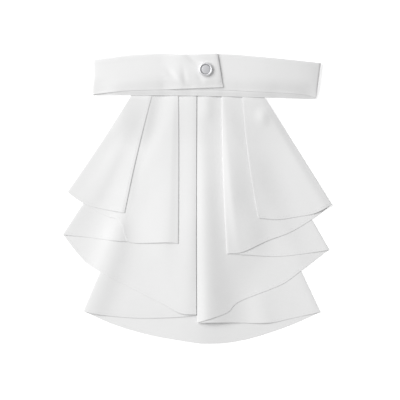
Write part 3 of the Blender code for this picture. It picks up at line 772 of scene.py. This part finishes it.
# Its top and bottom edges, from the lapping end round the back of the neck to the other end
bandRows = table("part topX topY bottomX bottomY", [
    ("front_left", 16.6, 119.0, 21.4, 91.0),
    ("front_left", -10.1, 118.1, -8.6, 89.9),
    ("front_left", -32.0, 118.7, -31.0, 89.0),
    ("front_left", -55.3, 117.7, -54.8, 88.4),
    ("front_left", -70.0, 115.8, -69.3, 87.2),
    ("front_left", -86.6, 114.1, -85.6, 85.4),
    ("back", -86.6, 114.1, -85.6, 84.7),
    ("back", 0.0, 112.0, 0.0, 84.2),
    ("back", 101.2, 111.5, 97.2, 81.7),
    ("front_right", 101.2, 111.5, 97.8, 82.8),
    ("front_right", 90.0, 112.6, 88.6, 85.2),
    ("front_right", 68.0, 114.7, 67.0, 86.6),
    ("front_right", 44.0, 116.9, 44.0, 87.6),
    ("front_right", 21.2, 118.4, 22.6, 88.8),
    ("front_right", -10.9, 117.2, -10.4, 89.2),
])


def bandStretch(part):
    # Top and bottom edge of one stretch of the band, at even steps along it
    points = [(row["topX"], row["topY"], row["bottomX"], row["bottomY"])
              for row in bandRows if row["part"] == part]
    length = sum(math.dist(a[:2], b[:2]) for a, b in zip(points, points[1:]))
    shares = np.linspace(0.0, 1.0, round(length / band["stationStep"]) + 1)
    close = np.array(band["edgeLines"][1:3]) / length
    if part == "front_left":
        shares = np.insert(shares, 1, close)
    if part == "front_right":
        shares = np.insert(shares, -1, 1.0 - close[::-1])
    return alongCurve(points, shares)


def overPleats(points):
    # The highest the pleats reach a short way to either side of each point and above it, smoothed
    shifts = [(across, up) for across in np.linspace(-1.0, 1.0, band["pleatSamples"]) * band["pleatReach"]
              for up in (0.0, band["pleatRise"])]
    tops = [np.maximum(stackHeight(points + shift, "left", len(panels)),
                       stackHeight(points + shift, "right", len(panels))) for shift in shifts]
    return tucked(points, lerp(np.mean(tops, axis=0), np.max(tops, axis=0), band["pleatShare"]))


def leanLift(fromBottom, seat):
    # How far the lower stretch stands over its own lower edge, where it lies on the pleats
    return band["lean"] * smoothStep(fromBottom / band["leanReach"]) * smoothStep(seat / band["leanSeat"])


def lowerTop(points):
    # The lower stretch's upper side at each point: the pleats, a gap, its lean and its wall
    across, bottom = zip(*[(row["bottomX"], row["bottomY"]) for row in bandRows
                           if row["part"] == "back"])
    edge = np.stack([points[:, 0], np.interp(points[:, 0], across, bottom)], axis=-1)
    seat = overPleats(edge + (0.0, band["seatAbove"])) + band["pleatGap"]
    fromBottom = points[:, 1] - edge[:, 1]
    return seat + leanLift(fromBottom, seat) + band["wall"] * pressed(fromBottom, band["backThin"])


def pressed(fromBottom, length):
    # The share that is left near the lower edge, where the turnings are pressed thin
    thin = lerp(band["thinnest"], 1.0, smoothStep(fromBottom / length))
    return thin * rounded(fromBottom, band["lowerRound"], band["edgeLeast"])


def leftToRight(left, right, x):
    # Eases from the value on the left to the one on the right, round the middle
    return lerp(left, right, smoothStep(x / band["middleEase"] + 0.5))


def bandSurface(part, plateau):
    # A ruled strip. The back bows up over the pleats. The front rises from its end folds as one
    # less a power of what is left of the ramp, its lower edge comes down, and its end laps over
    ruled = bandStretch(part)
    edge = np.array(band["edgeLines"]) / math.dist(ruled[0, :2], ruled[0, 2:])
    even = np.linspace(edge[-1], 1.0 - edge[-1], band["evenLines"] + 1)
    share = np.concatenate([edge[:-1], even, 1.0 - edge[-2::-1]])
    plan = lerp(ruled[:, None, :2], ruled[:, None, 2:], share[None, :, None])
    x = plan[..., 0]
    fromBottom = (1.0 - share[None]) * np.linalg.norm(plan[:, :1] - plan[:, -1:], axis=2)
    low = band["wall"] / 2.0
    sunk = low * (1.0 - pressed(fromBottom, band["backThin" if part == "back" else "frontThin"]))
    if part == "back":
        seat = overPleats(plan[:, -1] + (0.0, band["seatAbove"]))[:, None] + band["pleatGap"]
        up = smoothStep(1.0 - (fromBottom - band["riseFrom"]) / band["rise"])
        height = low - sunk + (seat + leanLift(fromBottom, seat)) * up
        return raised(plan, height)
    low = low + leftToRight(band["foldLeft"], band["foldRight"], x)
    fromLeft = 1.0 - np.clip((x - band["leftX"]) / band["leftRamp"], 0.0, 1.0)
    fromRight = 1.0 - np.clip((band["rightX"] - x) / band["rightRamp"], 0.0, 1.0)
    height = lerp(low, plateau, 1.0 - fromLeft ** band["leftPower"] - fromRight ** band["rightPower"])
    edgeHeight = height[:, -1]
    seat = lowerTop(plan[:, -1] + (0.0, band["seatLook"])) + band["pleatGap"] + band["wall"] / 2.0
    seat = np.maximum(seat, edgeHeight - band["dipMost"])
    dip = leftToRight(band["dipLeft"], band["dipRight"], x)
    height = height + (seat - edgeHeight)[:, None] * smoothStep(1.0 - fromBottom / dip)
    height = height - sunk
    if part == "front_left":
        height = height + band["pitch"] * smoothStep(
            (x - band["lapStartX"] + band["lapRise"]) / band["lapRise"])
        fromEnd = np.linalg.norm(plan - plan[:1], axis=2)
        height = height - band["lapSink"] * smoothStep(1.0 - fromEnd / band["lapEase"])
    return raised(plan, height)


def meetAtFold(first, second, inward):
    # Both ends are drawn in by half the height between them, less the square of the way along
    half = np.abs(first[-1, :, 2] - second[0, :, 2]) / 2.0
    for strip, end in ((first, -1), (second, 0)):
        along = np.abs(strip[..., 0] - strip[end, :, 0])
        strip[..., 0] += inward * half * np.clip(1.0 - along / band["foldPull"], 0.0, 1.0) ** 2


# Creases pressed into the front of the band by the snap and the seam below it:
# a place, the way it runs, its half length, half width and how high it stands
bandCreases = table("x y angle length width height", [
    (-3.5, 113.4, -40.0, 8.0, 1.9, -0.75),
    (3.0, 117.5, -25.0, 8.0, 2.8, 0.35),
    (2.5, 98.0, -64.0, 5.0, 1.8, -0.45),
    (-21.8, 102.0, -48.0, 6.0, 1.7, -0.6),
    (-15.6, 100.0, -55.0, 6.0, 1.8, 0.35),
    (-10.4, 99.8, -80.0, 7.5, 1.6, -0.6),
    (7.5, 95.5, 5.0, 6.0, 2.6, 0.35),
    (-6.5, 91.5, 5.0, 5.0, 1.2, -0.4),
])


def creaseLift(points, rows):
    # Each crease is a bell along and across its own direction
    total = np.zeros(points.shape[:-1])
    for row in rows:
        turn = math.radians(row["angle"])
        x, y = points[..., 0] - row["x"], points[..., 1] - row["y"]
        along = x * math.cos(turn) + y * math.sin(turn)
        beside = y * math.cos(turn) - x * math.sin(turn)
        total += row["height"] * bell(along, row["length"]) * bell(beside, row["width"])
    return total


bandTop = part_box("neckband")[1].z / mm
plateau = bandTop - band["pitch"] - band["wall"] / 2.0
frontLeft = bandSurface("front_left", plateau)
bandBack = bandSurface("back", plateau)
frontRight = bandSurface("front_right", plateau - band["underLap"])
meetAtFold(frontLeft, bandBack, 1.0)
meetAtFold(bandBack, frontRight, -1.0)
bandGrid = np.concatenate([
    frontLeft, halfTurn(frontLeft[-1], bandBack[0], (-1.0, 0.0), band["turnSteps"]),
    bandBack, halfTurn(bandBack[-1], frontRight[0], (1.0, 0.0), band["turnSteps"]), frontRight])
backStart, backEnd = len(frontLeft), len(bandGrid) - len(frontRight)

bandAcross = np.linalg.norm(np.diff(bandGrid, axis=1), axis=2)
fromTop = np.hstack([np.zeros((len(bandGrid), 1)), np.cumsum(bandAcross, axis=1)])
fromBottom = fromTop[:, -1:] - fromTop
bandAlong = np.linalg.norm(np.diff(bandGrid[:, bandGrid.shape[1] // 2], axis=0), axis=1)
fromStart = np.concatenate([[0.0], np.cumsum(bandAlong)])[:, None]


def bandHalfWall():
    # Half the wall times three shares: rounded at the edges, pressed thin at the lower ones and at
    # the end folds. A bell beside every edge stands for the turnings inside
    station = np.arange(len(bandGrid))[:, None]
    inBack = smoothStep((station - backStart) / band["turnSteps"] + 1.0) * smoothStep(
        (backEnd - station) / band["turnSteps"] + 1.0)
    fromOther = np.minimum(fromTop, np.minimum(fromStart, fromStart[-1] - fromStart))
    shape = rounded(fromOther, band["edgeRound"], band["edgeLeast"]) * pressed(
        fromBottom, lerp(band["frontThin"], band["backThin"], inBack))
    for fold in (backStart + band["turnSteps"] // 2, backEnd - band["turnSteps"] // 2):
        nearFold = bell(fromStart - fromStart[fold], band["foldThinLength"])
        shape = shape * (1.0 - band["foldThin"] * nearFold)
    fromEdge = np.minimum(fromBottom, fromOther)
    seam = band["seamHeight"] * bell(fromEdge - band["seamPlace"], band["seamHalfWidth"])
    return (band["wall"] / 2.0 + seam) * shape, shape


halfWall, edgeShape = bandHalfWall()
isFrontLeft = (np.arange(len(bandGrid)) < len(frontLeft))[:, None]
relief = creaseLift(bandGrid, bandCreases) * isFrontLeft * edgeShape
# As a sheet, it runs from the lap leftwards and from its top down, so its normals point up in front
bandSheet = bandGrid.transpose(1, 0, 2)
above, below = (halfWall + relief).T, halfWall.T
bandFlat = np.stack([np.broadcast_to(fromStart, fromTop.shape), fromTop], axis=-1) * mm
neckband = closedShell("neckband_cloth", bandSheet, above, below, bandFinish,
                       bandFlat.transpose(1, 0, 2))


def bandStitchLines():
    # Along both edges of the front, down the lapping end, and along the back's lower edge
    outer, inner = onShell(bandSheet, above, 1.0), onShell(bandSheet, below, -1.0)
    topRow, lowRow, endStation = band["stitchRows"]
    clear = band["stitchClear"]
    front, right = slice(endStation, backStart - clear), slice(backEnd + clear, None)
    places = [(outer, (topRow, front)), (outer, (lowRow, front)),
              (outer, (slice(topRow, lowRow + 1), endStation)),
              (outer, (topRow, right)), (outer, (lowRow, right)),
              (inner, (lowRow, slice(backStart + clear, backEnd - clear)))]
    return [(face[0][place], face[1][place]) for face, place in places]


bandThread = addStitches("neckband_edge_stitches", bandStitchLines(), threadFinish)
dress(bandThread)
dress(neckband, "neckband")
print("neckband:", bandGrid.shape, "length", round(float(fromStart[-1, 0]), 1))

# The snap's cap: a rolled metal rim round a shallow well, and the pearly disc set in it
snap = {
    "rimWidth": 1.7,
    "rimHeight": 2.1,
    "well": 0.7,                # how high the well's floor lies
    "wellRound": 0.12,
    "footRound": 0.5,
    "discGap": 0.3,             # round the disc and under it
    "discThickness": 0.45,
    "discDome": 0.4,            # how much higher its middle is
    "discRound": 0.25,
    "domeShare": 0.95,          # how far towards its rim the dome is drawn
    "domeRings": 9,
    "sides": 72,
}


def roundEdge(centreRadius, centreHeight, radius, start, end, steps):
    # Points on an arc of the profile: the centre plus the radius times cosine and sine
    angles = np.radians(np.linspace(start, end, steps))
    return np.column_stack([centreRadius + radius * np.cos(angles),
                            centreHeight + radius * np.sin(angles)])


def turned(name, profile, centre, finish):
    # The profile carried round the vertical axis; its two ends lie on the axis and are points
    angles = np.arange(snap["sides"]) * 2.0 * math.pi / snap["sides"]
    body = profile[1:-1]
    ringX, ringY = [body[:, :1] * wave(angles)[None] for wave in (np.cos, np.sin)]
    rings = np.stack([ringX, ringY, body[:, 1:] + 0.0 * ringX], axis=-1).reshape(-1, 3)
    tips = np.array([[0.0, 0.0, profile[0, 1]], [0.0, 0.0, profile[-1, 1]]])
    number = np.arange(len(rings)).reshape(len(body), snap["sides"])
    beside = np.roll(number, -1, axis=1)
    first = np.column_stack([number[0], beside[0], np.full(snap["sides"], len(rings))])
    last = np.column_stack([beside[-1], number[-1], np.full(snap["sides"], len(rings) + 1)])
    faces = ringQuads(number) + first.tolist() + last.tolist()
    return addPiece(name, np.vstack([rings, tips]) + centre, faces, finish)


def snapRim(outer):
    # From the well's middle over a rolled crown and down round the foot
    inner, crown = outer - snap["rimWidth"], snap["rimWidth"] / 2.0
    foot = snap["footRound"]
    return np.vstack([
        [(0.0, snap["well"]), (inner - snap["wellRound"], snap["well"]),
         (inner, snap["well"] + snap["wellRound"])],
        roundEdge(outer - crown, snap["rimHeight"] - crown, crown, 180.0, 0.0, 15),
        roundEdge(outer - foot, foot, foot, 0.0, -90.0, 7), [(0.0, 0.0)]])


def snapDisc(radius):
    # A low dome by one less the square of the radius, rounded off at its rim
    base = snap["well"] + snap["discGap"]
    top = base + snap["discThickness"]
    shoulder = radius - snap["discRound"]
    share = np.linspace(0.0, snap["domeShare"], snap["domeRings"])
    dome = np.column_stack([shoulder * share, top + snap["discDome"] * (1.0 - share ** 2)])
    rim = roundEdge(shoulder, top - snap["discRound"], snap["discRound"], 90.0, 0.0, 6)
    return np.vstack([dome, rim, [(radius, base), (0.0, base)]])


rimLow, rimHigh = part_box("button_rim")
snapRadius = (rimHigh.x - rimLow.x) / 2.0 / mm
snapCentre = np.array([(rimHigh.x + rimLow.x) / 2.0, (rimHigh.y + rimLow.y) / 2.0, rimLow.z]) / mm


# Nickel-plated brass, stamped and barrel polished: a soft grey mirror with a faint satin grain
nickel = {"colour": "#f0f0f2", "smoothest": 0.44, "roughest": 0.62, "grainMm": 0.5,
          "grainDepthMm": 0.012}


def stampedNickel(values):
    # Noise roughens the mirror and tilts it a little
    made, tree, shader = newMaterial("stamped_nickel_plate", {
        "Base Color": linear(values["colour"]), "Metallic": 1.0})
    place = addNode(tree, "ShaderNodeTexCoord").outputs["Object"]
    grain = addNode(tree, "ShaderNodeTexNoise", {
        "Vector": place, "Scale": 1.0 / (values["grainMm"] * mm), "Detail": 3.0}).outputs["Fac"]
    rough = addNode(tree, "ShaderNodeMapRange", {
        "Value": grain, "To Min": values["smoothest"], "To Max": values["roughest"]})
    tree.links.new(rough.outputs["Result"], shader.inputs["Roughness"])
    bump = addNode(tree, "ShaderNodeBump", {"Height": grain, "Distance": values["grainDepthMm"] * mm})
    tree.links.new(bump.outputs["Normal"], shader.inputs["Normal"])
    return made


# Cast pearl resin: milky, with cloudy swirls of mica and a glossy, polished face
pearl = {"light": "#d9d9db", "dark": "#c4c5c9", "swirlMm": 2.4, "swirlTwist": 1.6,
         "roughness": 0.22, "coat": 0.4, "refraction": 1.53}


def pearlResin(values):
    # Distorted noise mixes the two tones of mica
    made, tree, shader = newMaterial("cast_pearl_resin", {
        "Roughness": values["roughness"], "Coat Weight": values["coat"],
        "IOR": values["refraction"]})
    place = addNode(tree, "ShaderNodeTexCoord").outputs["Object"]
    swirl = addNode(tree, "ShaderNodeTexNoise", {
        "Vector": place, "Scale": 1.0 / (values["swirlMm"] * mm), "Detail": 4.0,
        "Distortion": values["swirlTwist"]}).outputs["Fac"]
    tint = addNode(tree, "ShaderNodeMix", {
        "Factor": swirl, "A": linear(values["dark"]), "B": linear(values["light"])},
        data_type="RGBA")
    tree.links.new(tint.outputs[2], shader.inputs["Base Color"])
    return made


snapRimPiece = turned("snap_rim_metal", snapRim(snapRadius), snapCentre, stampedNickel(nickel))
discRadius = snapRadius - snap["rimWidth"] - snap["discGap"]
snapDiscPiece = turned("snap_disc_pearl", snapDisc(discRadius), snapCentre, pearlResin(pearl))
dress(snapRimPiece, "button_rim")
dress(snapDiscPiece, "button_face")
print("snap: radius", round(snapRadius, 2))

# The table: a matt white laminate, lit up a little so that it stays as pale as the backdrop
tableTop = {"size": 6.0, "level": -0.15, "colour": "#f6f6f6", "roughness": 0.9, "glow": 0.45,
            "grainMm": 1.2, "grainDepthMm": 0.02}


def mattLaminate(values):
    # Fine noise tilts the surface a little, as the pressed grain of a laminate does
    made, tree, shader = newMaterial("matt_white_laminate", {
        "Base Color": linear(values["colour"]), "Roughness": values["roughness"],
        "Emission Color": (1.0, 1.0, 1.0, 1.0), "Emission Strength": values["glow"]})
    place = addNode(tree, "ShaderNodeTexCoord").outputs["Object"]
    grain = addNode(tree, "ShaderNodeTexNoise", {
        "Vector": place, "Scale": 1.0 / (values["grainMm"] * mm), "Detail": 2.0}).outputs["Fac"]
    bump = addNode(tree, "ShaderNodeBump", {"Height": grain, "Distance": values["grainDepthMm"] * mm})
    tree.links.new(bump.outputs["Normal"], shader.inputs["Normal"])
    return made


reach = tableTop["size"] / 2.0 / mm
corners = [(x * reach, y * reach, tableTop["level"]) for x, y in ((-1, -1), (1, -1), (1, 1), (-1, 1))]
floor = addPiece("table_top", corners, [(0, 1, 2, 3)], mattLaminate(tableTop))

# Seen from straight above; the lens is long, as the photograph shows no perspective
view = {"lens": 200.0, "sensor": 36.0, "centre": (2.26, -1.11), "pixelMm": 0.822, "pixels": 400,
        "reach": 20.0}
cameraData = bpy.data.cameras.new("camera")
cameraData.lens = view["lens"]
cameraData.sensor_width = view["sensor"]
cameraData.clip_end = view["reach"]
camera = addObject("camera", cameraData)
distance = view["pixelMm"] * view["pixels"] * mm * view["lens"] / view["sensor"]
camera.location = (view["centre"][0] * mm, view["centre"][1] * mm, distance)
bpy.context.scene.camera = camera

# One large soft light from the upper left, and an even white studio round it
light = {"size": 2.2, "power": 71.4, "place": (-1.8, 0.75, 1.72), "studio": 0.36}
keyData = bpy.data.lights.new("soft_key", "AREA")
keyData.shape = "SQUARE"
keyData.size = light["size"]
keyData.energy = light["power"]
key = addObject("soft_key", keyData)
key.location = light["place"]
key.rotation_euler = (-key.location).to_track_quat("-Z", "Y").to_euler()

world = bpy.data.worlds.new("studio")
world.use_nodes = True
backdrop = world.node_tree.nodes["Background"]
backdrop.inputs["Color"].default_value = (1.0, 1.0, 1.0, 1.0)
backdrop.inputs["Strength"].default_value = light["studio"]
bpy.context.scene.world = world
bpy.context.scene.view_settings.view_transform = "Standard"
print("studio: camera", round(distance, 2), "m above the table")
